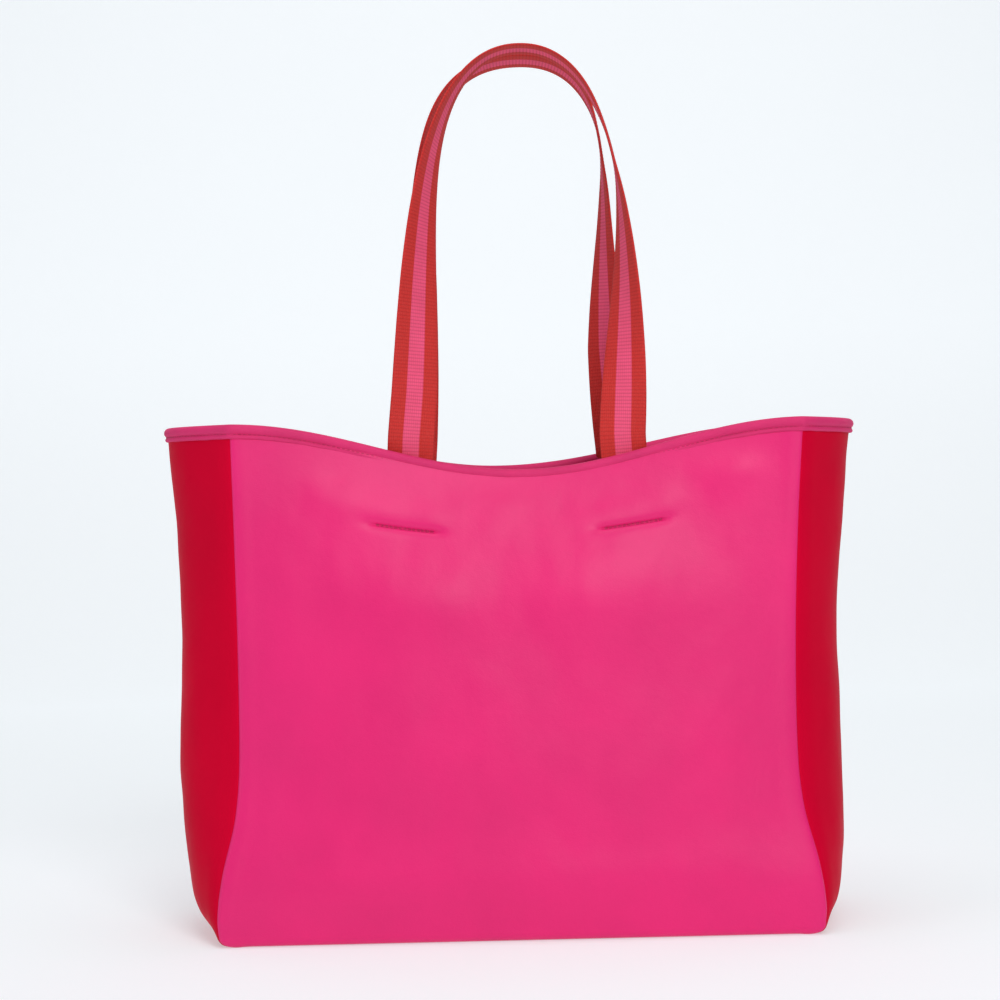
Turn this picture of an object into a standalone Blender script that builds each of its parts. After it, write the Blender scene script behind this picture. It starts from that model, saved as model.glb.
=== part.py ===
"""A neoprene beach tote: pink front, back and floor, red gussets, a bound rim and two webbing handles.

Metres, +Z up. The origin is the middle of the floor's underside, the front faces -Y, and +X is to the
right of someone who looks at the front. Each sewn piece is a sheet with its real thickness. The handles
swing just above the rim; each is cut there into the loop that moves and two ends sewn to the wall.
"""

import math

import bmesh
import bpy
from mathutils import Vector

# Driving sizes
RIM_HEIGHT = 0.351  # top of the binding above the floor, at the gussets
SKIN = 0.003  # neoprene with knit faces
GAP = 0.0003  # between pieces that touch
TAPE = 0.0012  # rim binding and seam tape
BINDING_DEPTH = 0.010  # how far the binding comes down each face
STITCH_LINE = 0.007  # under the top of the rim
FLOOR_EDGE_RADIUS = 0.006  # the walls curl in to the floor seam
FLOOR_CORNER = 0.004
BOARD_THICKNESS = 0.002
BOARD_INSET = 0.006  # all round, from the floor's edge
BOARD_CORNER = 0.012
WEBBING_WIDTH = 0.032
WEBBING = 0.0018
THREAD_RADIUS = 0.0004
HANDLE_TOP = 0.6125
HANDLE_SPREAD = 0.073  # from the middle of the bag to the middle of a handle's leg, at the rim

# The shape of the standing bag, station by station up its side:
# height, half width and half depth at the gusset seams, how far the gusset folds out,
# how far a wall bows out at mid width, and how round the gusset's fold is (1 is a crease)
STATIONS = (
    (0.000, 0.2035, 0.0750, 0.0000, 0.0000, 3.0),
    (0.020, 0.2050, 0.0745, 0.0175, 0.0030, 3.0),
    (0.050, 0.2010, 0.0710, 0.0280, 0.0080, 2.7),
    (0.085, 0.1930, 0.0660, 0.0390, 0.0120, 2.5),
    (0.120, 0.1900, 0.0620, 0.0430, 0.0140, 2.4),
    (0.200, 0.1903, 0.0580, 0.0412, 0.0100, 2.1),
    (0.280, 0.1925, 0.0570, 0.0430, -0.0020, 1.8),
    (0.351, 0.1952, 0.0590, 0.0468, -0.0200, 1.6),
)
WALLS = ("front", "right", "back", "left")  # anticlockwise, seen from above
FACING = {"front": -1, "right": 1, "back": 1, "left": -1}
FOLD_SHARE = {"right": 0.89, "left": 1.11}  # the left gusset folds out further
TOP_SWAY = 0.0042  # the whole mouth stands this far to the right of the floor
RIM_TILT = 0.009  # and slopes down to the right by this much a metre
RIM_DIP = {"front": (0.033, 0.002), "back": (0.029, -0.014)}  # depth of the sag, and where it is lowest
SAG_FADE = 3  # power of the height by which the sag dies out towards the floor

# The sewn seams
SEAM_SETBACK = {"front": 0.0005, "back": 0.0005, "left": 0.0042, "right": 0.0042}
SEAM_FLANGE = (0.0076, 0.0150)  # nearest and furthest reach of the bound seam allowance, in from the seam
SEAM_FLANGE_THICKNESS = 0.0045
SEAM_FLANGE_FOOT = 0.014  # it starts this far above the floor
SEAM_FLANGE_TOP = 0.004  # and ends this far under the binding
FLOOR_TAPE_RADIUS = 0.0022
FLOOR_TAPE_CLEAR = 0.0032  # from the floor and the walls
SKIN_TOP = SKIN / 2 + GAP + TAPE  # the walls end this far under the top of the rim
FLOOR_JOIN = 0.0008  # between the floor's edge and the curled-in walls
COLUMNS = {"front": 20, "right": 10, "back": 20, "left": 10}  # of a wall, and of the trim that follows it
ROWS = 14
ROW_SPREAD = 1.6  # power that packs a wall's rows closer together near the floor

# The handles
TACK_HEIGHT = 0.83  # share of the wall's height where a strap end is tacked through it
TACK_SPREAD = 0.078
TACK_LENGTH = 0.040
STRAP_STAND_OFF = 0.0052  # middle of the webbing from the middle of the wall, past the binding
HINGE_HEIGHT = 0.341
STRAP_AT_HINGE = {"front": -0.038, "back": 0.038}  # depth of the webbing's middle there
HINGE_GAP = 0.0005  # the webbing is cut this far above and below the hinge
STRAP_TAIL = 0.012  # the strap runs on this far below its tack
HANDLE_TOP_DEPTH = {"front": -0.018, "back": 0.0195}
HANDLE_CENTRE = 0.0043  # the handles are sewn a little to the right
TOP_LEAN = 0.0078  # and their tops lean further
ARCH_WIDTH_POWER = 2.2  # superellipse power across; 2 is a circle, and higher is squarer
TOP_TWIST = {"front": math.radians(90), "back": math.radians(86)}
# Each leg: superellipse power up, how far it sways to the right and at what share of its height,
# and by what share of the height it has turned from flat on the wall to TOP_TWIST, with the turn's power
LEGS = {
    ("front", -1): (4.0, 0.0034, 0.42, 1.00, 1.15),
    ("front", 1): (4.0, 0.0030, 0.53, 0.70, 1.3),
    ("back", -1): (7.5, 0.0035, 0.60, 1.00, 1.3),
    ("back", 1): (6.0, -0.0093, 0.45, 0.72, 1.3),
}


def station(height):
    """The row of STATIONS at any height, on a smooth curve through them."""
    rows = STATIONS
    i = max(0, min(len(rows) - 2, sum(row[0] <= height for row in rows) - 1))
    low, high = rows[i], rows[i + 1]
    before, after = rows[max(0, i - 1)], rows[min(len(rows) - 1, i + 2)]
    step = high[0] - low[0]
    t = (height - low[0]) / step
    values = []
    for k in range(1, len(low)):
        slope_low = (high[k] - before[k]) / (high[0] - before[0]) * step
        slope_high = (after[k] - low[k]) / (after[0] - low[0]) * step
        values.append(
            low[k] * (2 * t**3 - 3 * t**2 + 1)
            + high[k] * (3 * t**2 - 2 * t**3)
            + slope_low * (t**3 - 2 * t**2 + t)
            + slope_high * (t**3 - t**2)
        )
    return values


def floor_curl(height):
    """How far the walls have curled in towards the floor seam at this height."""
    up = min(FLOOR_EDGE_RADIUS, max(0.0, height))
    return FLOOR_EDGE_RADIUS - math.sqrt(FLOOR_EDGE_RADIUS**2 - (FLOOR_EDGE_RADIUS - up) ** 2)


def rim_sag(wall, x):
    """How far the rim of the front or back hangs below RIM_HEIGHT."""
    depth, lowest = RIM_DIP[wall]
    half_width = STATIONS[-1][1]
    reach = half_width - lowest if x > lowest else half_width + lowest
    return depth * (1 + math.cos(math.pi * min(1.0, abs(x - lowest) / reach))) / 2


def wall_point(wall, s, v):
    """Outer surface of a wall. s goes anticlockwise from seam to seam, -1 to 1, and v up from floor to rim."""
    height = v * RIM_HEIGHT
    half_width, half_depth, fold, crown, roundness = station(height)
    curl = floor_curl(height)
    facing = FACING[wall]
    if wall in RIM_DIP:
        x = -facing * s * half_width
        y = facing * (half_depth + crown * (1 - s * s) - curl)
        height -= rim_sag(wall, x) * v**SAG_FADE
        x *= 1 - curl / half_width
    else:
        x = facing * (half_width + FOLD_SHARE[wall] * fold * (1 - abs(s) ** roundness) - curl)
        y = facing * s * (half_depth - curl)
    fade = v**SAG_FADE
    return Vector((x + TOP_SWAY * fade, y, height - RIM_TILT * x * fade))


def wall_normal(wall, s, v):
    """Outward normal of a wall."""
    step = 0.002
    along = wall_point(wall, s + step, v) - wall_point(wall, s - step, v)
    up = wall_point(wall, s, v) - wall_point(wall, s, v - step)
    return along.cross(up).normalized()


def inside(wall, s, v, depth):
    """A point that far in from a wall's outer surface."""
    return wall_point(wall, s, v) - wall_normal(wall, s, v) * depth


def across(wall, x, v):
    """The s of a front or back wall at that x, at that share of its height."""
    return -FACING[wall] * (x - TOP_SWAY * v**SAG_FADE) / station(v * RIM_HEIGHT)[0]


def material(name, colour, roughness):
    made = bpy.data.materials.new(name)
    made.use_nodes = True
    shader = made.node_tree.nodes["Principled BSDF"]
    shader.inputs["Base Color"].default_value = (*colour, 1.0)
    shader.inputs["Roughness"].default_value = roughness
    shader.inputs["Metallic"].default_value = 0.0
    return made


def new_object(name, data, look):
    data.materials.append(look)
    made = bpy.data.objects.new(name, data)
    bag.objects.link(made)
    return made


def sheet(name, columns, rows, place, thickness, look, offset=0.0, closed=False):
    """A grid laid on the surface place(u, v), with u and v from 0 to 1, and given its thickness."""
    grid = bmesh.new()
    bmesh.ops.create_grid(grid, x_segments=columns, y_segments=rows, size=1.0)
    for vertex in grid.verts:
        vertex.co = place((vertex.co.x + 1) / 2, (vertex.co.y + 1) / 2)
    if closed:
        bmesh.ops.remove_doubles(grid, verts=grid.verts, dist=0.00001)
    mesh = bpy.data.meshes.new(name)
    grid.to_mesh(mesh)
    grid.free()
    mesh.shade_smooth()
    made = new_object(name, mesh, look)
    body = made.modifiers.new("Thickness", "SOLIDIFY")
    body.thickness = thickness
    body.offset = offset
    body.use_even_offset = True
    body.use_quality_normals = True
    return made


def plate(name, half_x, half_y, corner, bottom, thickness, look):
    """A flat plate with round corners."""
    outline = []
    corner_steps = 5
    for i, (sx, sy) in enumerate(((1, 1), (-1, 1), (-1, -1), (1, -1))):
        for k in range(corner_steps + 1):
            turn = (i + k / corner_steps) * math.pi / 2
            x = sx * (half_x - corner) + corner * math.cos(turn)
            y = sy * (half_y - corner) + corner * math.sin(turn)
            outline.append((x, y, 0.0, 1.0))
    curve = bpy.data.curves.new(name, "CURVE")
    curve.dimensions = "2D"
    curve.fill_mode = "BOTH"
    curve.extrude = thickness / 2
    spline = curve.splines.new("POLY")
    spline.points.add(len(outline) - 1)
    for point, co in zip(spline.points, outline):
        point.co = co
    spline.use_cyclic_u = True
    made = new_object(name, curve, look)
    made.location.z = bottom + thickness / 2
    return made


def cord(name, route, radius, look, cyclic=False):
    """A thread along a route."""
    curve = bpy.data.curves.new(name, "CURVE")
    curve.dimensions = "3D"
    curve.bevel_depth = radius
    curve.bevel_resolution = 0
    curve.use_fill_caps = not cyclic
    spline = curve.splines.new("POLY")
    spline.points.add(len(route) - 1)
    for point, co in zip(spline.points, route):
        point.co = (*co, 1.0)
    spline.use_cyclic_u = cyclic
    return new_object(name, curve, look)


def wall_panel(wall, look):
    """A wall from seam to seam, and from the floor to under the binding."""
    middle = 0.5
    length = (wall_point(wall, 1, middle) - wall_point(wall, 0, middle)).length
    end = 1 - SEAM_SETBACK[wall] / length
    bottom = GAP / RIM_HEIGHT
    top = 1 - SKIN_TOP / RIM_HEIGHT

    def place(u, v):
        return wall_point(wall, end * (2 * u - 1), bottom + (top - bottom) * v**ROW_SPREAD)

    kind = "panel" if wall in RIM_DIP else "gusset"
    return sheet(f"{wall}_{kind}", COLUMNS[wall], ROWS, place, SKIN, look, offset=-1.0)


def loop_round(v, offset):
    """Closed loop round the bag at that share of its height, offset out from the middle of the walls."""
    loop = []
    for wall in WALLS:
        count = COLUMNS[wall]
        loop += [wall_point(wall, 2 * k / count - 1, v) for k in range(count)]
    moved = []
    for i, point in enumerate(loop):
        before = (point - loop[i - 1]).xy.normalized()
        after = (loop[(i + 1) % len(loop)] - point).xy.normalized()
        out = Vector((before.y + after.y, -before.x - after.x)).normalized()
        square = max(0.6, out.dot(Vector((after.y, -after.x))))
        moved.append(point + (out * (offset - SKIN / 2) / square).to_3d())
    return moved


def rim_binding(look):
    """One tape folded over the edge of all four walls."""
    half = SKIN / 2 + GAP + TAPE / 2
    arc = [i * math.pi / 4 for i in range(5)]
    bend = half + TAPE / 2
    profile = [(bend - half * math.sin(turn), half * math.cos(turn)) for turn in arc]
    profile = [(BINDING_DEPTH, half), *profile, (BINDING_DEPTH, -half)]
    loops = [loop_round(1 - depth / RIM_HEIGHT, offset) for depth, offset in profile]
    around = len(loops[0])

    def place(u, v):
        return loops[round(v * (len(loops) - 1))][round(u * around) % around]

    return sheet("rim_binding", around, len(loops) - 1, place, TAPE, look, closed=True)


def rim_stitching(look):
    """The two threads of the binding's stitch line, one on each face."""
    share = 1 - STITCH_LINE / RIM_HEIGHT
    stand_off = SKIN / 2 + GAP + TAPE + GAP + THREAD_RADIUS
    for name, side in (("rim_stitch_outside", 1), ("rim_stitch_inside", -1)):
        cord(name, loop_round(share, side * stand_off), THREAD_RADIUS, look, cyclic=True)


def seam_tape(wall, corner, look):
    """The bound seam allowance that stands inside the bag along the corner at the end of a wall."""
    low, high = SEAM_FLANGE_FOOT, RIM_HEIGHT - BINDING_DEPTH - SEAM_FLANGE_TOP
    near, far = SEAM_FLANGE
    following = WALLS[(WALLS.index(wall) + 1) % len(WALLS)]

    def place(u, v):
        share = (low + (high - low) * v) / RIM_HEIGHT
        seam = wall_point(wall, 1, share)
        arriving = (seam - wall_point(wall, 0.98, share)).xy.normalized()
        leaving = (wall_point(following, -0.98, share) - seam).xy.normalized()
        inwards = (leaving - arriving).normalized().to_3d()
        return seam + inwards * (near + (far - near) * u)

    return sheet(f"{corner}_seam_tape", 1, 12, place, SEAM_FLANGE_THICKNESS, look)


def floor_seam_tape(look):
    """The bound allowance of the floor seam, which lies in the corner between the floor and the walls."""
    height = SKIN + GAP + FLOOR_TAPE_RADIUS + FLOOR_TAPE_CLEAR
    route = loop_round(height / RIM_HEIGHT, -(SKIN / 2 + FLOOR_TAPE_RADIUS + FLOOR_TAPE_CLEAR))
    return cord("floor_seam_tape", route, FLOOR_TAPE_RADIUS, look, cyclic=True)


def leg_turn(handle, side, share):
    """How far a leg has turned from flat on the wall, at that share of its height."""
    done, power = LEGS[handle, side][3:]
    return TOP_TWIST[handle] * (1 - (1 - min(1.0, share / done)) ** power)


def leg_sway(handle, side, share):
    """How far a leg sways to the right at that share of its height."""
    size, peak = LEGS[handle, side][1:3]
    return size * (share / peak) ** (peak / (1 - peak)) * (1 - share) / (1 - peak)


def arch_point(handle, turn):
    """Middle of the webbing above the hinge, and its share of the height. turn runs from pi, left, to 0."""
    side = -1 if turn > math.pi / 2 else 1
    bottom = HINGE_HEIGHT + HINGE_GAP
    wide = side * abs(math.cos(turn)) ** (2 / ARCH_WIDTH_POWER)
    share = abs(math.sin(turn)) ** (2 / LEGS[handle, side][0])
    x = HANDLE_CENTRE + HANDLE_SPREAD * wide + TOP_LEAN * share + leg_sway(handle, side, share)
    y = STRAP_AT_HINGE[handle] + (HANDLE_TOP_DEPTH[handle] - STRAP_AT_HINGE[handle]) * share
    return Vector((x, y, bottom + (HANDLE_TOP - bottom) * share)), share


def loop_path(handle, count):
    """Evenly spaced points and height shares along the loop above the hinge, from left to right."""
    fine = [arch_point(handle, math.pi * (1 - i / 400)) for i in range(401)]
    along = [0.0]
    for (a, _), (b, _) in zip(fine, fine[1:]):
        along.append(along[-1] + (b - a).length)
    path = []
    k = 0
    for i in range(count + 1):
        want = along[-1] * i / count
        while k < len(fine) - 2 and along[k + 1] < want:
            k += 1
        t = (want - along[k]) / (along[k + 1] - along[k])
        path.append((fine[k][0].lerp(fine[k + 1][0], t), fine[k][1] * (1 - t) + fine[k + 1][1] * t))
    return path


def handle_loop(handle, look):
    """The part of a handle above the rim: webbing that turns edge-on towards the top of its arch."""
    count = 36
    path = loop_path(handle, count)

    def place(u, v):
        i = round(v * count)
        point, share = path[i]
        tangent = (path[min(count, i + 1)][0] - path[max(0, i - 1)][0]).normalized()
        back = Vector((0, 1, 0))
        back = (back - tangent * back.dot(tangent)).normalized()
        outward = back.cross(tangent)
        turn = leg_turn(handle, -1 if i < count / 2 else 1, share)
        if i in (0, count):
            back, outward = Vector((0, 1, 0)), Vector((-1 if i else 1, 0, 0))
        return point + (outward * math.cos(turn) + back * math.sin(turn)) * WEBBING_WIDTH * (u - 0.5)

    return sheet(f"{handle}_handle", 2, count, place, WEBBING, look)


def strap_end(handle, side, look):
    """The end of a handle's strap: flat on the inside of the wall, past the binding and up to the hinge."""
    bottom = TACK_HEIGHT - STRAP_TAIL / RIM_HEIGHT
    on_wall, at_rim = SKIN + GAP + WEBBING / 2, SKIN / 2 + STRAP_STAND_OFF
    rows = 8
    rim_row = 6 / rows

    def place(u, v):
        up = min(1.0, v / rim_row)
        spread = TACK_SPREAD + (HANDLE_SPREAD - TACK_SPREAD) * up
        x = HANDLE_CENTRE + side * spread + WEBBING_WIDTH * (u - 0.5)
        rise = min(1.0, 1.5 * up)
        depth = on_wall + (at_rim - on_wall) * rise * rise * (3 - 2 * rise)
        share = bottom + (1 - bottom) * up
        point = inside(handle, across(handle, x, share), share, depth)
        if v > rim_row:
            top = Vector((x, STRAP_AT_HINGE[handle], HINGE_HEIGHT - HINGE_GAP))
            point = point.lerp(top, (v - rim_row) / (1 - rim_row))
        return point

    name = f"{handle}_{'right' if side > 0 else 'left'}_strap_end"
    return sheet(name, 4, rows, place, WEBBING, look)


def tack(handle, side, look):
    """The row of thread that tacks a strap end through the wall, as it shows outside."""
    middle = HANDLE_CENTRE + side * TACK_SPREAD
    stand_off = GAP + THREAD_RADIUS
    count = 8
    route = []
    for i in range(count + 1):
        x = middle + TACK_LENGTH * (i / count - 0.5)
        route.append(inside(handle, across(handle, x, TACK_HEIGHT), TACK_HEIGHT, -stand_off))
    name = f"{handle}_{'right' if side > 0 else 'left'}_tack"
    return cord(name, route, THREAD_RADIUS, look)


for old in list(bpy.data.objects):
    bpy.data.objects.remove(old)
bag = bpy.data.collections.new("beach_bag")
bpy.context.scene.collection.children.link(bag)

pink = material("neoprene_pink", (0.76, 0.03, 0.19), 0.75)
red = material("neoprene_red", (0.45, 0.004, 0.03), 0.75)
binding = material("binding_pink", (0.70, 0.02, 0.16), 0.6)
webbing = material("webbing_red", (0.58, 0.045, 0.04), 0.8)
thread = material("thread_pink", (0.60, 0.01, 0.12), 0.6)
lining = material("board_cover", (0.60, 0.02, 0.15), 0.8)

wall_panel("front", pink)
wall_panel("back", pink)
wall_panel("left", red)
wall_panel("right", red)
half_x = STATIONS[0][1] - FLOOR_EDGE_RADIUS - FLOOR_JOIN
half_y = STATIONS[0][2] - FLOOR_EDGE_RADIUS - FLOOR_JOIN
plate("floor_panel", half_x, half_y, FLOOR_CORNER, 0.0, SKIN, pink)
half_x -= BOARD_INSET
half_y -= BOARD_INSET
plate("base_board", half_x, half_y, BOARD_CORNER, SKIN + GAP, BOARD_THICKNESS, lining)
rim_binding(binding)
rim_stitching(thread)
floor_seam_tape(binding)
for wall, corner in zip(WALLS, ("front_right", "back_right", "back_left", "front_left")):
    seam_tape(wall, corner, binding)
for handle in ("front", "back"):
    handle_loop(handle, webbing)
    for side in (-1, 1):
        strap_end(handle, side, webbing)
        tack(handle, side, thread)
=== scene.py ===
"""Looks of the beach tote: knit-faced neoprene, a stitched rim binding and striped webbing handles."""

import math

import bpy
import numpy as np
from mathutils import Matrix, Vector, noise


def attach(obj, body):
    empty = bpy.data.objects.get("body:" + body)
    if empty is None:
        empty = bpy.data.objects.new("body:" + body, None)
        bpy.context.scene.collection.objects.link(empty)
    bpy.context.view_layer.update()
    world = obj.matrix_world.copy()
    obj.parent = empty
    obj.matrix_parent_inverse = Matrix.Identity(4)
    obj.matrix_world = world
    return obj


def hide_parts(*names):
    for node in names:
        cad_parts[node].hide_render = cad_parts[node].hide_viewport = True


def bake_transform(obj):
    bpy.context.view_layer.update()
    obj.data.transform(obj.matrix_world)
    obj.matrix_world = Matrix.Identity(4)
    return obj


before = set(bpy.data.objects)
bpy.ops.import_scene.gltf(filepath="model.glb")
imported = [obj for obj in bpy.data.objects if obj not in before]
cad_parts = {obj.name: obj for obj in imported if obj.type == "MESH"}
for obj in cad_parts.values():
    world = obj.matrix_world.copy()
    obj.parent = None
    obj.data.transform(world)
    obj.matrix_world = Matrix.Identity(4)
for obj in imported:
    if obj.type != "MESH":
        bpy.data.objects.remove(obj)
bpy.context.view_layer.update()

# Driving sizes, in metres. The shape is the CAD's, with the folds and stitches that the CAD leaves out
RIM_HEIGHT = 0.351
SKIN = 0.003
BINDING_DEPTH = 0.010
FLOOR_EDGE_RADIUS = 0.006
WEBBING_WIDTH = 0.032
WEBBING = 0.0018
HANDLE_TOP = 0.6125
HANDLE_SPREAD = 0.073

# Height, half width and half depth at the gusset seams, how far the gusset folds out,
# how far a wall bows out at mid width, and how round the gusset's fold is (1 is a crease)
STATIONS = (
    (0.000, 0.2035, 0.0750, 0.0000, 0.0000, 3.0),
    (0.020, 0.2050, 0.0745, 0.0175, 0.0030, 3.0),
    (0.050, 0.2010, 0.0710, 0.0280, 0.0080, 2.7),
    (0.085, 0.1930, 0.0660, 0.0390, 0.0120, 2.5),
    (0.120, 0.1900, 0.0620, 0.0430, 0.0140, 2.4),
    (0.200, 0.1903, 0.0580, 0.0412, 0.0100, 2.1),
    (0.280, 0.1925, 0.0570, 0.0430, -0.0020, 1.8),
    (0.351, 0.1952, 0.0590, 0.0468, -0.0200, 1.6),
)
WALLS = ("front", "right", "back", "left")  # anticlockwise, seen from above
FACING = {"front": -1, "right": 1, "back": 1, "left": -1}
FOLD_SHARE = {"right": 0.89, "left": 1.11}
TOP_SWAY = 0.0042
RIM_TILT = 0.009
RIM_DIP = {"front": (0.033, 0.002), "back": (0.029, -0.014)}
SAG_FADE = 3

# Cloth details
SEAM_ROLL = 0.0035  # radius by which the cloth turns in to a seam
SEAM_SINK = 0.0016
SEAM_RIDGE = 0.0005  # the slight fullness beside a seam
RIDGE_FROM_SEAM = 0.007
RIDGE_WIDTH = 0.005
TACK_HEIGHT = 0.83
TACK_SPREAD = 0.078
TACK_LENGTH = 0.040
TACK_BAND = 0.006  # half height of the band of finer rows at a tack
# How the cloth gives round a tack: size, reach past the row's ends, middle above the row, and half height
TACK_RELIEFS = (
    (-0.0016, 0.0025, 0.0, 0.0011),  # the crease along the stitches
    (-0.0016, 0.0070, 0.0, 0.0038),  # the softer hollow round it
    (0.0008, 0.0160, 0.012, 0.010),  # the fullness above it
)
WRINKLE = 0.0016
GRAIN_SIZE = 0.060  # of the wrinkles
FINE_SHARE = 0.25  # size of the fine wrinkles among them
CALM_AT_SEAM = 0.03  # the wrinkles grow over this distance from a seam
CALM_AT_FLOOR = 0.08  # and over this share of the height
CALM_AT_RIM = 0.026  # and fade over this height under the binding
# Slumping folds low on a wall: size, share of the height, spread and width
SLUMP = (0.0007, 0.07, 0.05, 0.028)
# Broad swells of the front and back: middle across and up, half width and half height, and size
SWELLS = (
    (0.054, 0.248, 0.058, 0.042, 0.0066),
    (-0.068, 0.236, 0.044, 0.026, 0.0046),
    (-0.118, 0.305, 0.020, 0.016, 0.0018),
    (0.156, 0.318, 0.018, 0.014, 0.0014),
    (0.128, 0.285, 0.022, 0.030, -0.0016),
    (0.000, 0.040, 0.220, 0.019, 0.0028),
)
CLOTH_FOOT = 0.0008  # share of the height at which a wall's cloth starts
CLOTH_RISE = 0.9922  # and how much of the height it covers
CLOTH_REACH = 0.9995  # and how near it comes to its seams
CROWDING = 0.35  # how much closer a cloth's rows stand at its edges
FLOOR_INSET = 0.0042
FLOOR_TURN = 0.004  # the floor turns up into its seam over this distance
FLOOR_LIFT = 0.35  # share of that distance by which it rises
BOARD_EDGE = 0.0008

# The handles
STRAP_STAND_OFF = 0.0052
STRAP_GAP = 0.0002  # between a strap and the wall it is sewn to
STRAP_STEPS = 40
ARCH_STEPS = 240
SMOOTHING = 11  # rings to each side that a strap is smoothed over
HINGE_HEIGHT = 0.341
STRAP_AT_HINGE = {"front": -0.038, "back": 0.038}
STRAP_TAIL = 0.012
HANDLE_TOP_DEPTH = {"front": -0.018, "back": 0.0195}
HANDLE_CENTRE = 0.0043
TOP_LEAN = 0.0078
ARCH_WIDTH_POWER = 2.2
TOP_TWIST = {"front": math.radians(90), "back": math.radians(86)}
# Each leg: superellipse power up, how far it sways to the right and at what share of its height,
# and by what share of the height it has turned from flat on the wall to TOP_TWIST, with the turn's power
LEGS = {
    ("front", -1): (4.0, 0.0034, 0.42, 1.00, 1.15),
    ("front", 1): (4.0, 0.0030, 0.53, 0.70, 1.3),
    ("back", -1): (7.5, 0.0035, 0.60, 1.00, 1.3),
    ("back", 1): (6.0, -0.0093, 0.45, 0.72, 1.3),
}
# Where a leg turns past its twist: height share, spread and angle
OVERTURN = {("front", 1): (0.76, 0.12, math.radians(6)), ("back", 1): (0.80, 0.10, math.radians(9))}
RIB_PITCH = 0.0024
RIB_HEIGHT = 0.00012
YARNS = 22  # across the webbing
WEBBING_CUP = 0.0006  # how far the webbing cups, here and there
WEBBING_WAVER = 0.004  # how unevenly wide it is woven
STRAP_STEP = 0.0006  # between the rings of a strap

# Sewing
STITCH_PITCH = 0.0034
STITCH_LENGTH = 0.0027
STITCH_RADIUS = 0.00032
STITCH_ARCH = 0.00022  # how far a stitch stands up in its middle
STITCH_SIDES = 6
STITCH_LINE = 0.0068  # under the top of the rim
STITCH_OFFSET = 0.0024  # from the wall's middle, in the binding's groove
STITCH_PUFF = 0.07  # how much the binding swells between its stitches
TACK_PITCH = 0.0031
TACK_ROWS = (-0.0007, 0.0007)  # two rows of stitches, under and over the tack's middle

# Half of the binding's section: depth under the rim's top, and distance from the wall's middle
BINDING_SECTION = (
    (0.0000, 0.0000),
    (0.0003, 0.0016),
    (0.0011, 0.0028),
    (0.0024, 0.0036),
    (0.0040, 0.0038),
    (0.0054, 0.0034),
    (0.0062, 0.0027),
    (0.0068, 0.0022),
    (0.0074, 0.0027),
    (0.0083, 0.0031),
    (0.0093, 0.0029),
    (0.0100, 0.0022),
    (0.0101, 0.0014),
)
BINDING_FOLD = 0.001  # the fold at the top, which stays even
BINDING_GROOVE = 0.0007  # half width of the groove that the stitches pull in
BINDING_UNEVEN = 0.10  # how much its fullness varies along the rim
BINDING_WANDER = 0.0003  # how far its lower edge wanders up and down
# Half of a bound seam allowance: share of its reach, and half thickness
SEAM_SECTION = (
    (0.00, 0.0016),
    (0.15, 0.0021),
    (0.42, 0.0020),
    (0.55, 0.0014),
    (0.68, 0.0020),
    (0.90, 0.0019),
    (1.00, 0.0008),
)
SEAM_TAPE_FOOT = 0.012
SEAM_TAPE_CLEAR = 0.002  # under the binding
SEAM_ROOT = 0.0042  # from the corner's outer edge to where the allowance starts
SEAM_REACH = 0.0105
SEAM_WAVE = 0.0012
SEAM_PUFF = 0.08
FLOOR_TAPE_RADIUS = 0.0022
FLOOR_TAPE_RISE = 0.0043  # of its middle above the floor's cloth
FLOOR_TAPE_INSET = 0.0040  # of its middle from the wall's inner face
FLOOR_TAPE_PUFF = 0.06

# The studio
BACKDROP = (0.905, 0.94, 0.965)
PAPER_SHADE = 0.66
PAPER_GLOW = (0.42, 0.53)  # under the bag and far behind it, to keep the paper evenly pale
PAPER_DEPTH = 1.6  # how far back the paper lies flat
PAPER_CLEAR = 0.0002  # under the bag
SKY = (0.93, 0.965, 1.0, 1.0)
SKY_STRENGTH = 0.18
# Each lamp: place, what it points at, size and power
LAMPS = {
    "key": ((0.45, -1.8, 1.22), (0, 0, 0.25), 1.0, 21.5),
    "fill": ((-1.9, -0.9, 0.9), (0, 0, 0.25), 1.6, 6.5),
    "top": ((0.0, -0.3, 2.1), (0, 0, 0.25), 1.4, 12.5),
    "paper": ((0.0, 0.9, 1.9), (0, 1.8, 0.5), 2.4, 5),
}
EYE = (-0.0083, -1.418, 0.297)
ROLL = math.radians(1.35)
LENS = 72


def station(height):
    """The row of STATIONS at any height, on a smooth curve through them."""
    rows = STATIONS
    i = max(0, min(len(rows) - 2, sum(row[0] <= height for row in rows) - 1))
    low, high = rows[i], rows[i + 1]
    before, after = rows[max(0, i - 1)], rows[min(len(rows) - 1, i + 2)]
    step = high[0] - low[0]
    t = (height - low[0]) / step
    values = []
    for k in range(1, len(low)):
        slope_low = (high[k] - before[k]) / (high[0] - before[0]) * step
        slope_high = (after[k] - low[k]) / (after[0] - low[0]) * step
        values.append(
            low[k] * (2 * t**3 - 3 * t**2 + 1)
            + high[k] * (3 * t**2 - 2 * t**3)
            + slope_low * (t**3 - 2 * t**2 + t)
            + slope_high * (t**3 - t**2)
        )
    return values


def round_over(distance, radius):
    """Drop of a quarter-round edge at that distance from the edge."""
    near = min(radius, max(0.0, distance))
    return radius - math.sqrt(radius**2 - (radius - near) ** 2)


def rim_sag(wall, x):
    """How far the rim of the front or back hangs below its corners."""
    depth, lowest = RIM_DIP[wall]
    half_width = STATIONS[-1][1]
    reach = half_width - lowest if x > lowest else half_width + lowest
    return depth * (1 + math.cos(math.pi * min(1.0, abs(x - lowest) / reach))) / 2


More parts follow.
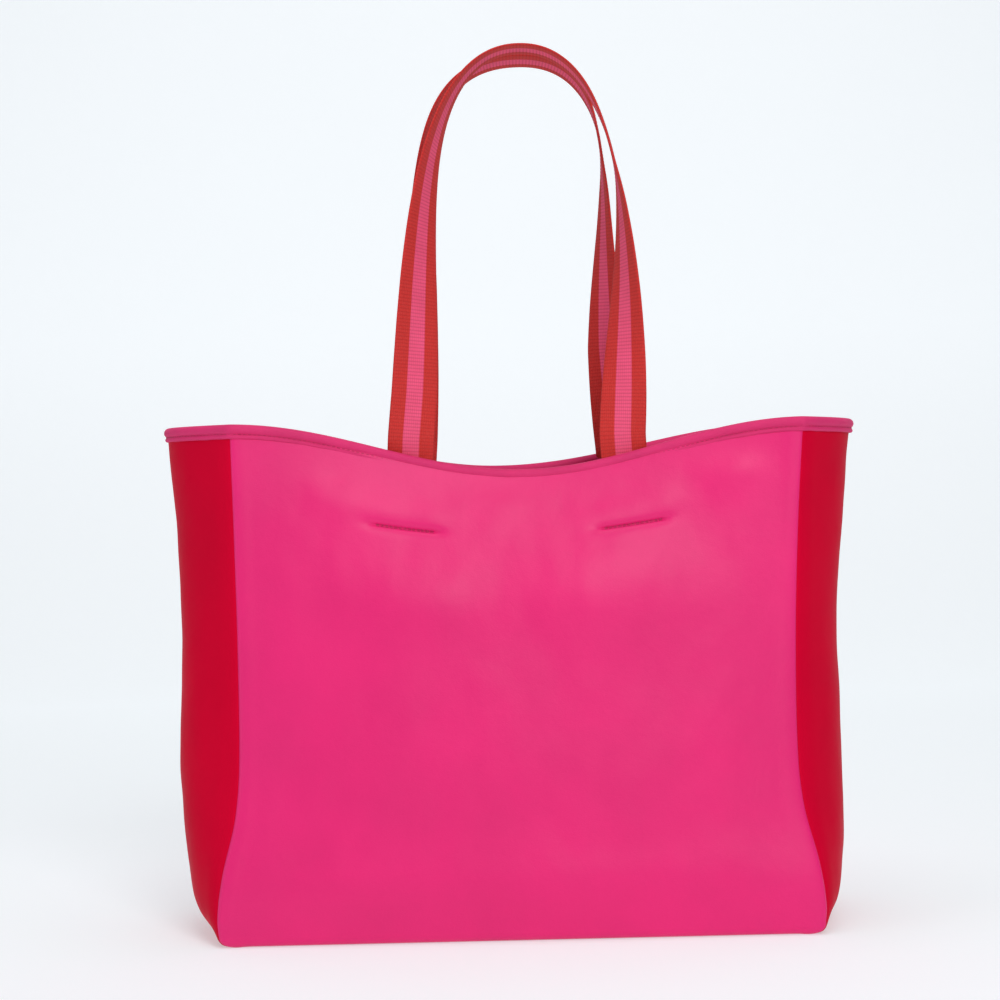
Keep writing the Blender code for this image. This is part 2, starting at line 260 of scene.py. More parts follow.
def wall_point(wall, s, v):
    """Outer surface of a wall. s goes anticlockwise from seam to seam, -1 to 1, and v from floor to rim."""
    height = v * RIM_HEIGHT
    half_width, half_depth, fold, crown, roundness = station(height)
    curl = round_over(height, FLOOR_EDGE_RADIUS)
    facing = FACING[wall]
    if wall in RIM_DIP:
        x = -facing * s * half_width
        y = facing * (half_depth + crown * (1 - s * s) - curl)
        height -= rim_sag(wall, x) * v**SAG_FADE
        x *= 1 - curl / half_width
    else:
        x = facing * (half_width + FOLD_SHARE[wall] * fold * (1 - abs(s) ** roundness) - curl)
        y = facing * s * (half_depth - curl)
    fade = v**SAG_FADE
    return Vector((x + TOP_SWAY * fade, y, height - RIM_TILT * x * fade))


def wall_normal(wall, s, v):
    """The way a wall's plain shape faces."""
    step = 0.002
    along = wall_point(wall, s + step, v) - wall_point(wall, s - step, v)
    up = wall_point(wall, s, v) - wall_point(wall, s, v - step)
    return along.cross(up).normalized()


def inside(wall, s, v, depth):
    """A point that far in from a wall's outer surface."""
    return wall_point(wall, s, v) - wall_normal(wall, s, v) * depth


def across(wall, x, v):
    """The s of a front or back wall at that x, at that share of its height."""
    return -FACING[wall] * (x - TOP_SWAY * v**SAG_FADE) / station(v * RIM_HEIGHT)[0]


def bump(distance, width):
    """A bell curve: 1 in the middle, fading with distance."""
    return math.exp(-((distance / width) ** 2))


def ease(share):
    """From 0 to 1 with a soft start and a soft end."""
    return share * share * (3 - 2 * share)


def tack_relief(x, v):
    """How the tacks pull the wall in along their rows, and the cloth swells round them."""
    relief = 0.0
    up = (v - TACK_HEIGHT) * RIM_HEIGHT
    for side in (-1, 1):
        from_middle = abs(x - HANDLE_CENTRE - side * TACK_SPREAD)
        past_end = max(0.0, from_middle - TACK_LENGTH / 2)
        for size, reach, rise, half_height in TACK_RELIEFS:
            relief += size * bump(past_end, reach) * bump(up - rise, half_height)
    return relief


def swell_relief(x, height):
    """The broad soft swells of a standing wall, between its corners and tacks."""
    relief = 0.0
    for middle, at, wide, high, size in SWELLS:
        relief += size * bump(x - middle, wide) * bump(height - at, high)
    return relief


def wall_relief(wall, s, v):
    """How far a wall's real face lies outside its plain shape."""
    point = wall_point(wall, s, v)
    half_width, half_depth = station(v * RIM_HEIGHT)[:2]
    to_seam = (1 - abs(s)) * (half_width if wall in RIM_DIP else half_depth)
    relief = -SEAM_SINK / SEAM_ROLL * round_over(to_seam, SEAM_ROLL)
    relief += SEAM_RIDGE * bump(to_seam - RIDGE_FROM_SEAM, RIDGE_WIDTH)
    free = ((1 - v) * RIM_HEIGHT - BINDING_DEPTH) / CALM_AT_RIM
    free = ease(min(1.0, max(0.0, free)))
    calm = min(1.0, to_seam / CALM_AT_SEAM) * min(1.0, v / CALM_AT_FLOOR) * free
    soft_at = Vector((point.x, point.y, point.z * 0.8)) / GRAIN_SIZE
    soft = noise.noise(soft_at + Vector((3.1, 0, 7.7)))
    fine_at = Vector((point.x * 1.5, point.y, point.z)) / (GRAIN_SIZE * 0.4)
    fine = noise.noise(fine_at + Vector((0, 5.3, 1.9)))
    relief += calm * (WRINKLE * soft + FINE_SHARE * WRINKLE * fine)
    if wall in RIM_DIP:
        swell = swell_relief(-FACING[wall] * point.x, v * RIM_HEIGHT)
        relief += free * (tack_relief(point.x, v) + swell)
        size, at, spread, width = SLUMP
        slump = bump(v - at, spread) * math.sin(point.x / width + 1.5 * soft)
        relief += size * calm * slump
    return relief


def face_point(wall, s, v):
    """A point on a wall's real face, with its relief."""
    return wall_point(wall, s, v) + wall_normal(wall, s, v) * wall_relief(wall, s, v)


def dense_ends(count):
    """Steps from 0 to 1, closer together at both ends."""
    halves = [2 * i / count - 1 for i in range(count + 1)]
    return [(k * (1 + CROWDING * (1 - k * k)) + 1) / 2 for k in halves]


def mesh_object(name, points, faces, look, attributes=None):
    mesh = bpy.data.meshes.new(name)
    mesh.from_pydata([tuple(p) for p in points], [], faces)
    for label, values in (attributes or {}).items():
        mesh.attributes.new(label, "FLOAT", "POINT").data.foreach_set("value", values)
    mesh.materials.append(look)
    mesh.shade_smooth()
    made = bpy.data.objects.new(name, mesh)
    bpy.context.scene.collection.objects.link(made)
    return made


def cloth(name, us, vs, place, look):
    """A fine grid on the surface place(u, v), thickened inwards. us and vs are its columns and rows."""
    points = [place(u, v) for v in vs for u in us]
    wide = len(us)
    faces = [
        (j * wide + i, j * wide + i + 1, (j + 1) * wide + i + 1, (j + 1) * wide + i)
        for j in range(len(vs) - 1)
        for i in range(wide - 1)
    ]
    made = mesh_object(name, points, faces, look)
    body = made.modifiers.new("Thickness", "SOLIDIFY")
    body.thickness = SKIN
    body.offset = -1.0
    body.use_even_offset = True
    return made


def sweep(name, rings, look, attributes=None, closed=False):
    """A solid through rings of points. The path closes on itself, or its two ends are capped."""
    size = len(rings[0])
    count = len(rings)
    points = [p for ring in rings for p in ring]
    faces = []
    for j in range(count if closed else count - 1):
        for i in range(size):
            k = (j + 1) % count
            n = (i + 1) % size
            faces.append((j * size + i, j * size + n, k * size + n, k * size + i))
    if not closed:
        faces.append(tuple(reversed(range(size))))
        faces.append(tuple((count - 1) * size + i for i in range(size)))
    return mesh_object(name, points, faces, look, attributes)


def loop_round(v, step):
    """Points and outward directions round the bag at that share of its height, evenly spaced."""
    dense = []
    for wall in WALLS:
        count = 120 if wall in RIM_DIP else 60
        dense += [wall_point(wall, 2 * k / count - 1, v) for k in range(count)]
    return even_loop(dense, step)


def even_loop(dense, step):
    """A closed line of points at even steps, slightly smoothed, with its outward directions and lengths."""
    points = np.array([tuple(p) for p in dense])
    ring = np.vstack([points, points[:1]])
    along = np.concatenate([[0], np.cumsum(np.linalg.norm(np.diff(ring, axis=0), axis=1))])
    count = round(along[-1] / step)
    at = np.arange(count) * along[-1] / count
    loop = np.column_stack([np.interp(at, along, ring[:, k]) for k in range(3)])
    for _ in range(2):
        loop = (np.roll(loop, 1, axis=0) + 2 * loop + np.roll(loop, -1, axis=0)) / 4
    way = np.roll(loop, -1, axis=0) - np.roll(loop, 1, axis=0)
    out = np.column_stack([way[:, 1], -way[:, 0], np.zeros(count)])
    out /= np.linalg.norm(out, axis=1)[:, None]
    return loop, out, at


def rim_binding(look):
    """The folded tape, drawn in along its stitch line and puffed up between the stitches."""
    loop, out, along = loop_round(1.0, STITCH_PITCH / 2)
    inner_half = [(depth, -offset) for depth, offset in reversed(BINDING_SECTION[1:])]
    profile = [*BINDING_SECTION, *inner_half]
    rings = []
    down = np.array([0, 0, -1.0])
    for centre, away, at in zip(loop, out, along):
        middle = centre - away * SKIN / 2
        puff = 1 + STITCH_PUFF * math.sin(2 * math.pi * at / STITCH_PITCH)
        puff += BINDING_UNEVEN * noise.noise(Vector((at * 60, 0, 0)))
        edge = BINDING_WANDER * noise.noise(Vector((at * 90, 4, 0)))
        ring = []
        for depth, offset in profile:
            even = depth < BINDING_FOLD or abs(depth - STITCH_LINE) < BINDING_GROOVE
            swell = 1.0 if even else puff
            lower = edge if depth > STITCH_LINE else 0.0
            ring.append(Vector(middle + away * offset * swell + down * (depth + lower)))
        rings.append(ring)
    return sweep("rim_binding_tape", rings, look, closed=True)


def stitches(name, places, look):
    """Separate stitches: each place is its middle, the way it runs and the way it faces."""
    points, faces = [], []
    # Place along the stitch, -1 to 1, and share of its thickness
    stages = ((-1.0, 0.25), (-0.7, 0.85), (0.0, 1.0), (0.7, 0.85), (1.0, 0.25))
    sides = STITCH_SIDES
    for middle, way, face in places:
        way = Vector(way).normalized()
        face = Vector(face).normalized()
        third = way.cross(face).normalized()
        first = len(points)
        for along, thick in stages:
            arch = face * (STITCH_ARCH * (1 - along * along))
            for k in range(sides):
                turn = 2 * math.pi * k / sides
                ring = (face * math.cos(turn) + third * math.sin(turn)) * STITCH_RADIUS * thick
                points.append(Vector(middle) + way * (along * STITCH_LENGTH / 2) + arch + ring)
        for j in range(len(stages) - 1):
            for k in range(sides):
                a = first + j * sides
                n = (k + 1) % sides
                faces.append((a + k, a + n, a + sides + n, a + sides + k))
        faces.append(tuple(first + k for k in reversed(range(sides))))
        faces.append(tuple(first + (len(stages) - 1) * sides + k for k in range(sides)))
    return mesh_object(name, points, faces, look)


def rim_stitches(name, side, look):
    """The row that holds the binding, on its outside (1) or its inside (-1)."""
    loop, out, _ = loop_round(1.0, STITCH_PITCH)
    way = np.roll(loop, -1, axis=0) - np.roll(loop, 1, axis=0)
    down = np.array([0, 0, -STITCH_LINE])
    middles = loop - out * SKIN / 2 + out * side * STITCH_OFFSET + down
    return stitches(name, list(zip(middles, way, out * side)), look)


def strap_end_frames(handle, side):
    """Middles and width directions of a strap from its tail up to just under the hinge."""
    bottom = TACK_HEIGHT - STRAP_TAIL / RIM_HEIGHT
    on_wall = SKIN + WEBBING / 2 + STRAP_GAP
    at_rim = SKIN / 2 + STRAP_STAND_OFF
    frames = []
    for i in range(STRAP_STEPS + 1):
        up = i / STRAP_STEPS
        x = HANDLE_CENTRE + side * (TACK_SPREAD + (HANDLE_SPREAD - TACK_SPREAD) * up)
        leaving = ease(min(1.0, 1.5 * up))  # the strap comes off the wall over two thirds of its way
        depth = on_wall + (at_rim - on_wall) * leaving
        v = bottom + (1 - bottom) * up

        def at(dx):
            return inside(handle, across(handle, x + dx, v), v, depth)

        sloping = (at(0.01) - at(-0.01)).normalized()
        frames.append((at(0), sloping.lerp(Vector((1, 0, 0)), up).normalized()))
    return frames


def leg_turn(handle, side, share):
    """How far a leg's webbing has turned at that share of its height, from flat on the wall."""
    done, power = LEGS[handle, side][3:]
    turn = TOP_TWIST[handle] * (1 - (1 - min(1.0, share / done)) ** power)
    if (handle, side) in OVERTURN:
        where, spread, extra = OVERTURN[handle, side]
        turn += extra * bump(share - where, spread)
    return turn


def leg_sway(handle, side, share):
    """How far a leg sways to the right at that share of its height."""
    size, peak = LEGS[handle, side][1:3]
    return size * (share / peak) ** (peak / (1 - peak)) * (1 - share) / (1 - peak)


def arch_point(handle, turn):
    """Middle of the webbing above the hinge, and its share of the height. turn runs from pi, left, to 0."""
    side = -1 if turn > math.pi / 2 else 1
    wide = side * abs(math.cos(turn)) ** (2 / ARCH_WIDTH_POWER)
    share = abs(math.sin(turn)) ** (2 / LEGS[handle, side][0])
    x = HANDLE_CENTRE + HANDLE_SPREAD * wide + TOP_LEAN * share + leg_sway(handle, side, share)
    y = STRAP_AT_HINGE[handle] + (HANDLE_TOP_DEPTH[handle] - STRAP_AT_HINGE[handle]) * share
    return Vector((x, y, HINGE_HEIGHT + (HANDLE_TOP - HINGE_HEIGHT) * share)), share


def loop_frames(handle):
    """Middles and width directions of a handle above the hinge, from the left leg to the right."""
    points = [arch_point(handle, math.pi * (1 - i / ARCH_STEPS)) for i in range(ARCH_STEPS + 1)]
    frames = []
    for i, (point, share) in enumerate(points):
        tangent = (points[min(ARCH_STEPS, i + 1)][0] - points[max(0, i - 1)][0]).normalized()
        back = Vector((0, 1, 0))
        back = (back - tangent * back.dot(tangent)).normalized()
        inward = back.cross(tangent)
        turn = leg_turn(handle, -1 if i < ARCH_STEPS / 2 else 1, share)
        frames.append((point, inward * math.cos(turn) + back * math.sin(turn)))
    return frames


def strap_frames(handle):
    """The whole strap, evenly spaced and smoothed: middles, width directions, normals and lengths."""
    left = strap_end_frames(handle, -1)
    right = [(p, -w) for p, w in reversed(strap_end_frames(handle, 1))]
    frames = left + loop_frames(handle) + right
    middles = np.array([tuple(p) for p, _ in frames])
    widths = np.array([tuple(w) for _, w in frames])
    along = np.concatenate([[0], np.cumsum(np.linalg.norm(np.diff(middles, axis=0), axis=1))])
    at = np.arange(0, along[-1], STRAP_STEP)
    middles = np.column_stack([np.interp(at, along, middles[:, k]) for k in range(3)])
    widths = np.column_stack([np.interp(at, along, widths[:, k]) for k in range(3)])
    kernel = np.hanning(2 * SMOOTHING + 1)
    kernel /= kernel.sum()
    for rows in (middles, widths):
        for k in range(3):
            padded = np.pad(rows[:, k], SMOOTHING, mode="reflect", reflect_type="odd")
            rows[:, k] = np.convolve(padded, kernel, mode="valid")
    tangents = np.gradient(middles, axis=0)
    tangents /= np.linalg.norm(tangents, axis=1)[:, None]
    widths -= tangents * (widths * tangents).sum(axis=1)[:, None]
    widths /= np.linalg.norm(widths, axis=1)[:, None]
    return middles, widths, np.cross(tangents, widths), at


def webbing_profile():
    """Closed section of the webbing: place across its width, -1 to 1, and height, -1 to 1."""
    top = []
    count = 14
    squareness = 14
    for i in range(count + 1):
        x = -math.cos(math.pi * i / count)
        x = math.copysign(abs(x) ** 0.75, x)
        top.append((x, (1 - abs(x) ** squareness) ** 0.5 if abs(x) < 1 else 0.0))
    return top + [(x, -height) for x, height in reversed(top[1:-1])]


def strap(handle, look):
    """One length of webbing: tail, tack, leg, arch, leg, tack and tail."""
    middles, widths, normals, along = strap_frames(handle)
    profile = webbing_profile()
    rings, across_at, along_at = [], [], []
    for p, w, n, at in zip(middles, widths, normals, along):
        rib = RIB_HEIGHT * math.sin(2 * math.pi * at / RIB_PITCH)
        wavy = 1 + WEBBING_WAVER * noise.noise(Vector((at * 45, 0, 2)))
        cup = WEBBING_CUP * noise.noise(Vector((at * 14, 9, 2)))
        ring = []
        for x, h in profile:
            height = h * (WEBBING / 2 + rib * (1 - abs(x) ** 6)) + cup * (1 - x * x)
            ring.append(Vector(p + w * x * wavy * WEBBING_WIDTH / 2 + n * height))
            across_at.append((x + 1) / 2)
            along_at.append(at)
        rings.append(ring)
    return sweep(f"{handle}_strap", rings, look, {"across": across_at, "along": along_at})


def side_name(side):
    """The word for side 1 or -1 in the names of nodes and pieces."""
    return "right" if side > 0 else "left"


def tack_row(handle, side, look):
    """The stitches of a tack, on the wall's face and on the strap inside."""
    places = []
    count = round(TACK_LENGTH / TACK_PITCH)
    middle = HANDLE_CENTRE + side * TACK_SPREAD
    strap_depth = SKIN + WEBBING + 0.0005  # just over the strap's inner face
    for row in TACK_ROWS:
        for i in range(count):
            x = middle + TACK_LENGTH * ((i + 0.5) / count - 0.5)
            v = TACK_HEIGHT + row / RIM_HEIGHT
            s = across(handle, x, v)
            way = wall_point(handle, s + 0.01, v) - wall_point(handle, s - 0.01, v)
            normal = wall_normal(handle, s, v)
            places.append((face_point(handle, s, v), way, normal))
            if abs(x - middle) < WEBBING_WIDTH / 2 - 0.001:
                places.append((inside(handle, s, v, strap_depth), way, -normal))
    return stitches(f"{handle}_{side_name(side)}_tack_stitches", places, look)


def seam_tape(wall, corner, look):
    """The bound seam allowance inside one corner of the bag: a flat roll with a stitched waist."""
    following = WALLS[(WALLS.index(wall) + 1) % len(WALLS)]
    low = SEAM_TAPE_FOOT
    high = RIM_HEIGHT - BINDING_DEPTH - SEAM_TAPE_CLEAR
    rings = []
    count = 220
    for j in range(count + 1):
        share = (low + (high - low) * j / count) / RIM_HEIGHT
        seam = wall_point(wall, 1, share)
        arriving = (seam - wall_point(wall, 0.98, share)).xy.normalized()
        leaving = (wall_point(following, -0.98, share) - seam).xy.normalized()
        inwards = (leaving - arriving).normalized().to_3d()
        sideways = Vector((-inwards.y, inwards.x, 0))
        at = share * RIM_HEIGHT
        wave = SEAM_WAVE * noise.noise(Vector((at * 30, WALLS.index(wall), 0)))
        puff = 1 + SEAM_PUFF * math.sin(2 * math.pi * at / STITCH_PITCH)
        there = [(reach, thick) for reach, thick in SEAM_SECTION]
        back = [(reach, -thick) for reach, thick in reversed(SEAM_SECTION)]
        ring = []
        for reach, thick in there + back:
            inward = inwards * (SEAM_ROOT + SEAM_REACH * reach)
            ring.append(seam + inward + sideways * (thick * puff + wave * reach))
        rings.append(ring)
    return sweep(f"{corner}_seam_binding", rings, look)


def floor_seam_tape(look):
    """The bound allowance round the floor, in the corner inside."""
    loop, out, along = loop_round((SKIN + FLOOR_TAPE_RISE) / RIM_HEIGHT, 0.002)
    sides = 10
    rings = []
    for centre, away, at in zip(loop, out, along):
        middle = centre - away * (SKIN + FLOOR_TAPE_INSET)
        puff = 1 + FLOOR_TAPE_PUFF * math.sin(2 * math.pi * at / STITCH_PITCH)
        radius = FLOOR_TAPE_RADIUS * puff
        ring = []
        for k in range(sides):
            turn = 2 * math.pi * k / sides
            up = np.array([0, 0, math.sin(turn)])
            ring.append(Vector(middle + radius * (away * math.cos(turn) + up)))
        rings.append(ring)
    return sweep("floor_seam_binding", rings, look, closed=True)


def wall_cloth(wall, look):
    """One wall or gusset. A wall has finer rows along its tacks."""
    tacked = wall in RIM_DIP
    us = dense_ends(190 if tacked else 80)
    vs = [CLOTH_FOOT + CLOTH_RISE * v for v in dense_ends(150)]
    if tacked:
        band = TACK_BAND / RIM_HEIGHT
        crease = [TACK_HEIGHT + band * k / 12 for k in range(-12, 13)]
        vs = sorted([v for v in vs if abs(v - TACK_HEIGHT) > 1.1 * band] + crease)

    def place(u, v):
        return face_point(wall, CLOTH_REACH * (2 * u - 1), v)

    kind = "wall" if tacked else "gusset"
    return cloth(f"{wall}_{kind}_cloth", us, vs, place, look)


def floor_cloth(look):
    """The floor, which the board inside holds flat; its rim turns up a little into the seam."""
    half_x = STATIONS[0][1] - FLOOR_INSET
    half_y = STATIONS[0][2] - FLOOR_INSET

    def place(u, v):
        x, y = half_x * (2 * u - 1), half_y * (2 * v - 1)
        edge = min(half_x - abs(x), half_y - abs(y))
        return Vector((x, y, SKIN + FLOOR_LIFT * round_over(edge, FLOOR_TURN)))

    return cloth("floor_cloth", dense_ends(150), dense_ends(60), place, look)


def board_cover(look):
    """The loose stiff board in the bottom, under its own cloth cover."""
    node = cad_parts["base_board"]
    node.data.materials.clear()
    node.data.materials.append(look)
    soft = node.modifiers.new("Rounded edge", "BEVEL")
    soft.width = BOARD_EDGE
    soft.segments = 3


class Nodes:
    """A material's node tree, with short ways to add to it."""

    def __init__(self, name):
        self.material = bpy.data.materials.new(name)
        self.material.use_nodes = True
        self.tree = self.material.node_tree
        self.shader = self.tree.nodes["Principled BSDF"]

    def add(self, kind, **values):
        made = self.tree.nodes.new(kind)
        for key, value in values.items():
            if hasattr(made, key):
                setattr(made, key, value)
            else:
                made.inputs[key.replace("_", " ")].default_value = value
        return made

    def link(self, out, into):
        self.tree.links.new(out, into)

    def noise(self, scale, detail=3.0, stretch=(1, 1, 1)):
        place = self.add("ShaderNodeTexCoord")
        mapping = self.add("ShaderNodeMapping")
        mapping.inputs["Scale"].default_value = stretch
        self.link(place.outputs["Object"], mapping.inputs["Vector"])
        made = self.add("ShaderNodeTexNoise", Scale=scale, Detail=detail)
        self.link(mapping.outputs["Vector"], made.inputs["Vector"])
        return made.outputs["Fac"]

    def set(self, **values):
        """Values for the shader's own inputs, with _ for each space in a name."""
        for key, value in values.items():
            self.shader.inputs[key.replace("_", " ")].default_value = value

    def ramp(self, fac, stops):
        made = self.add("ShaderNodeValToRGB")
        points = made.color_ramp.elements
        while len(points) < len(stops):
            points.new(0.5)
        for point, (where, colour) in zip(points, stops):
            point.position = where
            point.color = (*colour, 1.0)
        self.link(fac, made.inputs["Fac"])
        return made.outputs["Color"]

    def mask(self, fac, *stops):
        """A grey ramp, from pairs of place and brightness."""
        return self.ramp(fac, [(where, (bright,) * 3) for where, bright in stops])

    def mix(self, fac, a, b):
        made = self.add("ShaderNodeMix", data_type="RGBA")
        for value, socket in ((fac, made.inputs[0]), (a, made.inputs[6]), (b, made.inputs[7])):
            if isinstance(value, (int, float)):
                socket.default_value = value
            elif isinstance(value, tuple):
                socket.default_value = (*value, 1.0)
            else:
                self.link(value, socket)
        return made.outputs[2]

    def sine(self, value, pitch):
        """A wave between 0 and 1 along that value."""
        scaled = self.add("ShaderNodeMath", operation="MULTIPLY")
        self.link(value, scaled.inputs[0])
        scaled.inputs[1].default_value = 2 * math.pi / pitch
        wave = self.add("ShaderNodeMath", operation="SINE")
        self.link(scaled.outputs[0], wave.inputs[0])
        half = self.add("ShaderNodeMath", operation="MULTIPLY_ADD")
        self.link(wave.outputs[0], half.inputs[0])
        half.inputs[1].default_value = 0.5
        half.inputs[2].default_value = 0.5
        return half.outputs[0]

    def bump(self, height, distance, strength=1.0, under=None):
        made = self.add("ShaderNodeBump")
        made.inputs["Strength"].default_value = strength
        made.inputs["Distance"].default_value = distance
        self.link(height, made.inputs["Height"])
        if under is not None:
            self.link(under, made.inputs["Normal"])
        self.link(made.outputs["Normal"], self.shader.inputs["Normal"])
        return made.outputs["Normal"]


def shade(colour, factor):
    """The colour, darker below 1 and brighter above it."""
    return tuple(min(1.0, c * factor) for c in colour)


def neoprene(name, colour, bright, satin):
    """Knit-faced neoprene: a fine grain, a slight satin, a nap that lightens at grazing angles, and a
    painted highlight along its convex folds and edges.
    """
    made = Nodes(name)
    blotches = made.noise(14.0, 4.0)
    base = made.ramp(blotches, ((0.3, shade(colour, 0.94)), (0.7, shade(colour, 1.05))))
    grain = made.noise(1500.0, 2.0)
    base = made.mix(grain, base, made.mix(0.16, base, bright))
    # Painted highlight: convex folds and edges, found by pointiness, are lightened toward the bright
    # colour.
    highlight_geometry = made.add("ShaderNodeNewGeometry")
    edge_highlight = made.mask(highlight_geometry.outputs["Pointiness"], (0.52, 0.0), (0.60, 0.35))
    base = made.mix(edge_highlight, base, bright)
    made.link(base, made.shader.inputs["Base Color"])
    made.set(Roughness=0.46, Specular_IOR_Level=satin)
    made.set(Sheen_Weight=0.25 * satin, Sheen_Roughness=0.45, Sheen_Tint=(*bright, 1.0))
    knit = made.noise(900.0, 2.0, (1, 1, 2.2))
    under = made.bump(knit, 0.00025, 0.35)
    made.bump(made.noise(140.0, 3.0), 0.0006, 0.25, under)
    return made.material


def ribbed_tape(name, colour, bright):
    """Folded binding tape: tighter knit than the walls, with a little more shine."""
    made = Nodes(name)
    uneven = made.noise(45.0, 3.0)
    base = made.ramp(uneven, ((0.3, shade(colour, 0.92)), (0.7, shade(colour, 1.06))))
    base = made.mix(made.noise(2200.0, 1.0), base, made.mix(0.14, base, bright))
    made.link(base, made.shader.inputs["Base Color"])
    made.set(Roughness=0.68, Specular_IOR_Level=0.25)
    made.set(Sheen_Weight=0.18, Sheen_Tint=(*bright, 1.0))
    under = made.bump(made.noise(1400.0, 2.0, (1, 1, 3)), 0.0002, 0.4)
    made.bump(made.noise(260.0, 2.0), 0.0005, 0.3, under)
    return made.material


def striped_webbing(name, red, pink):
    """Woven webbing in three bands along its length, ribbed across, with painted shade in the grooves
    between its ribs and yarns.
    """
    made = Nodes(name)
    at = made.add("ShaderNodeAttribute", attribute_name="across").outputs["Fac"]
    along = made.add("ShaderNodeAttribute", attribute_name="along").outputs["Fac"]
    stripes = ((0.0, red), (0.315, red), (0.335, pink), (0.670, pink), (0.690, red), (1.0, red))
    bands = made.ramp(at, stripes)
    uneven = made.noise(60.0, 3.0)
    bands = made.mix(made.mask(uneven, (0.3, 0.0), (0.75, 0.16)), bands, shade(red, 0.6))
    rib = made.sine(along, RIB_PITCH)
    # Painted shade: the troughs between the ribs are darkened toward a dark red.
    bands = made.mix(made.mask(rib, (0.0, 0.26), (0.55, 0.0)), bands, shade(red, 0.35))
    yarns = made.sine(at, 1 / YARNS)
    # Painted shade: the hollows between the yarns are darkened the same way.
    bands = made.mix(made.mask(yarns, (0.0, 0.14), (0.5, 0.0)), bands, shade(red, 0.45))
    fuzz = made.noise(2600.0, 1.0)
    bands = made.mix(made.mask(fuzz, (0.45, 0.0), (0.75, 0.10)), bands, (0.9, 0.30, 0.30))
    made.link(bands, made.shader.inputs["Base Color"])
    made.set(Roughness=0.85, Specular_IOR_Level=0.10, Sheen_Weight=0.05)
    under = made.bump(rib, 0.0002, 0.6)
    under = made.bump(yarns, 0.00012, 0.5, under)
    made.bump(fuzz, 0.0001, 0.4, under)
    return made.material


def sewing_thread(name, colour):
    """Twisted thread: lighter and darker along its twist."""
    made = Nodes(name)
    twist = made.noise(3000.0, 1.0, (1, 1, 2))
    base = made.ramp(twist, ((0.35, shade(colour, 0.75)), (0.65, shade(colour, 1.2))))
    made.link(base, made.shader.inputs["Base Color"])
    made.set(Roughness=0.55)
    made.bump(twist, 0.0001, 0.5)
    return made.material


def plain_backdrop():
    """Matte paper that glows a little more with distance, as a lit studio's backdrop does."""
    made = Nodes("studio_paper")
    paper = shade(BACKDROP, PAPER_SHADE)
    base = made.ramp(made.noise(3.0), ((0.3, shade(paper, 0.99)), (0.7, paper)))
    made.link(base, made.shader.inputs["Base Color"])
    made.set(Roughness=0.95, Specular_IOR_Level=0.0, Emission_Color=(*BACKDROP, 1.0))
    place = made.add("ShaderNodeSeparateXYZ")
    made.link(made.add("ShaderNodeNewGeometry").outputs["Position"], place.inputs[0])
    glow = made.add("ShaderNodeMapRange")
    made.link(place.outputs["Y"], glow.inputs["Value"])
    glow.inputs["From Max"].default_value = PAPER_DEPTH
    glow.inputs["To Min"].default_value, glow.inputs["To Max"].default_value = PAPER_GLOW
    made.link(glow.outputs["Result"], made.shader.inputs["Emission Strength"])
    return made.material


def studio_floor():
    """Pale paper under the bag that curves up into a backdrop."""
    front, side, wall_height, radius = -3.0, 4.0, 2.2, 0.6
    profile = [(front, 0.0), (PAPER_DEPTH, 0.0)]
    steps = 12
    for k in range(1, steps + 1):
        turn = math.pi / 2 * k / steps
        profile.append((PAPER_DEPTH + radius * math.sin(turn), radius * (1 - math.cos(turn))))
    profile.append((PAPER_DEPTH + radius, wall_height + radius))
    points = [(x, y, z - PAPER_CLEAR) for y, z in profile for x in (-side, side)]
    faces = [(2 * k, 2 * k + 1, 2 * k + 3, 2 * k + 2) for k in range(len(profile) - 1)]
    mesh_object("studio_floor", points, faces, plain_backdrop())


def studio_lights():
    """A dim pale sky and broad soft lamps."""
    world = bpy.data.worlds.new("studio")
    bpy.context.scene.world = world
    world.use_nodes = True
    sky = world.node_tree.nodes["Background"]
    sky.inputs["Color"].default_value = SKY
    sky.inputs["Strength"].default_value = SKY_STRENGTH
    for name, (place, aim, size, power) in LAMPS.items():
        data = bpy.data.lights.new(name, "AREA")
        data.shape = "DISK"
        data.size = size
        data.energy = power
        lamp = bpy.data.objects.new(name, data)
        lamp.location = place
        lamp.rotation_euler = (Vector(aim) - Vector(place)).to_track_quat("-Z", "Y").to_euler()
        bpy.context.scene.collection.objects.link(lamp)


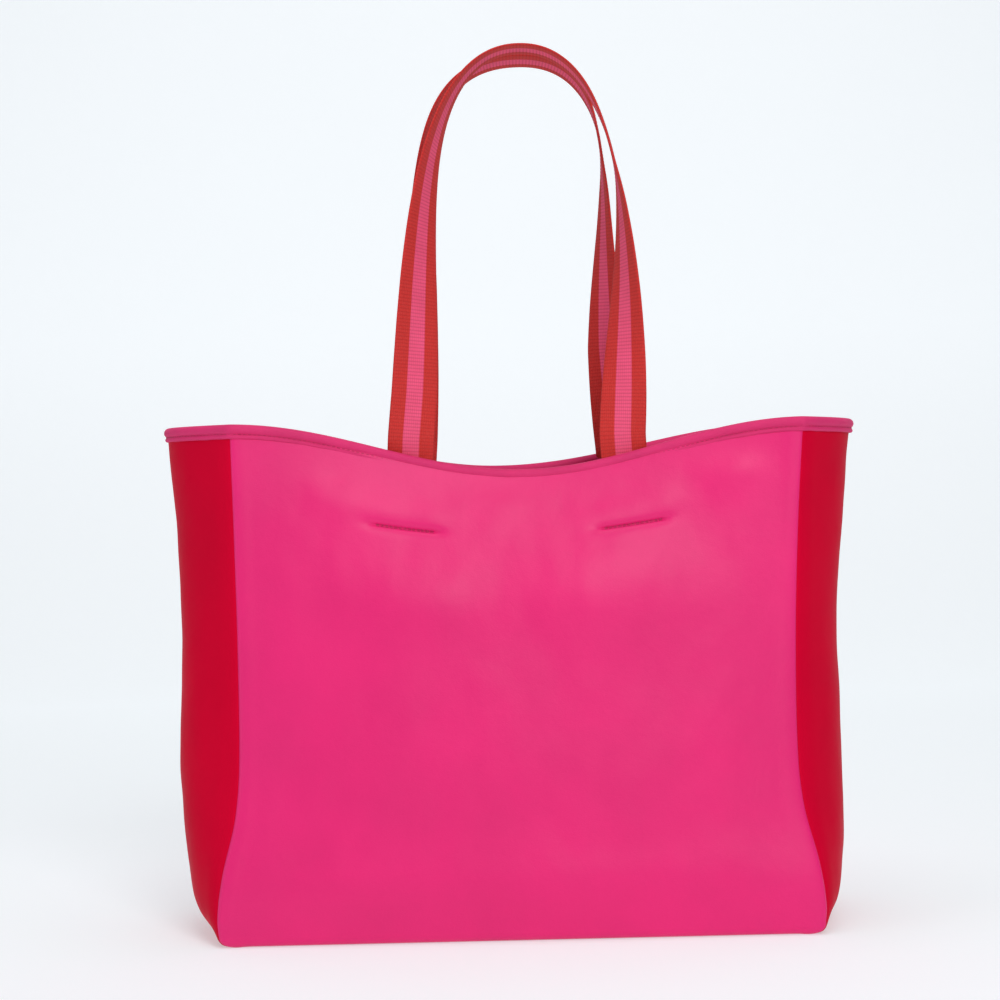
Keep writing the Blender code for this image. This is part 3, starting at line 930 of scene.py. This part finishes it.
def studio_camera():
    """The camera looks straight back along Y, level but rolled a little."""
    data = bpy.data.cameras.new("camera")
    data.lens = LENS
    data.sensor_width = 36
    camera = bpy.data.objects.new("camera", data)
    straight = Matrix.Translation(EYE) @ Matrix.Rotation(math.pi / 2, 4, "X")
    camera.matrix_world = straight @ Matrix.Rotation(-ROLL, 4, "Z")
    bpy.context.scene.collection.objects.link(camera)
    bpy.context.scene.camera = camera
    bpy.context.scene.view_settings.view_transform = "Standard"


pink = neoprene("neoprene_pink_knit", (0.78, 0.008, 0.158), (0.95, 0.05, 0.26), 0.34)
red = neoprene("neoprene_red_knit", (0.62, 0.0008, 0.026), (0.76, 0.003, 0.045), 0.02)
tape = ribbed_tape("binding_knit", (0.66, 0.016, 0.135), (0.95, 0.16, 0.34))
webbing = striped_webbing("striped_webbing", (0.60, 0.033, 0.029), (0.87, 0.098, 0.220))
thread = sewing_thread("sewing_thread", (0.55, 0.010, 0.10))
cover = neoprene("board_cover_cloth", (0.60, 0.016, 0.13), (0.95, 0.16, 0.34), 0.20)


def settle(piece, nodes, body="bag"):
    """The piece takes the place of those CAD nodes and rides on their body, unless it is blended."""
    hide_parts(*nodes)
    if body:
        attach(piece, body)


for wall in WALLS:
    gusset = wall not in RIM_DIP
    node = f"{wall}_gusset" if gusset else f"{wall}_panel"
    piece = wall_cloth(wall, red if gusset else pink)
    settle(piece, [node])
settle(floor_cloth(pink), ["floor_panel"])
board_cover(cover)
settle(rim_binding(tape), ["rim_binding"])
settle(rim_stitches("rim_stitches_outside", 1, thread), ["rim_stitch_outside"])
settle(rim_stitches("rim_stitches_inside", -1, thread), ["rim_stitch_inside"])
settle(floor_seam_tape(tape), ["floor_seam_tape"])
for wall, corner in zip(WALLS, ("front_right", "back_right", "back_left", "front_left")):
    settle(seam_tape(wall, corner, tape), [f"{corner}_seam_tape"])
for handle in ("front", "back"):
    piece = strap(handle, webbing)
    ends = [f"{handle}_left_strap_end", f"{handle}_right_strap_end"]
    settle(piece, [f"{handle}_handle", *ends], body=None)
    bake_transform(piece)
    for side in (-1, 1):
        settle(tack_row(handle, side, thread), [f"{handle}_{side_name(side)}_tack"])

studio_floor()
studio_lights()
studio_camera()
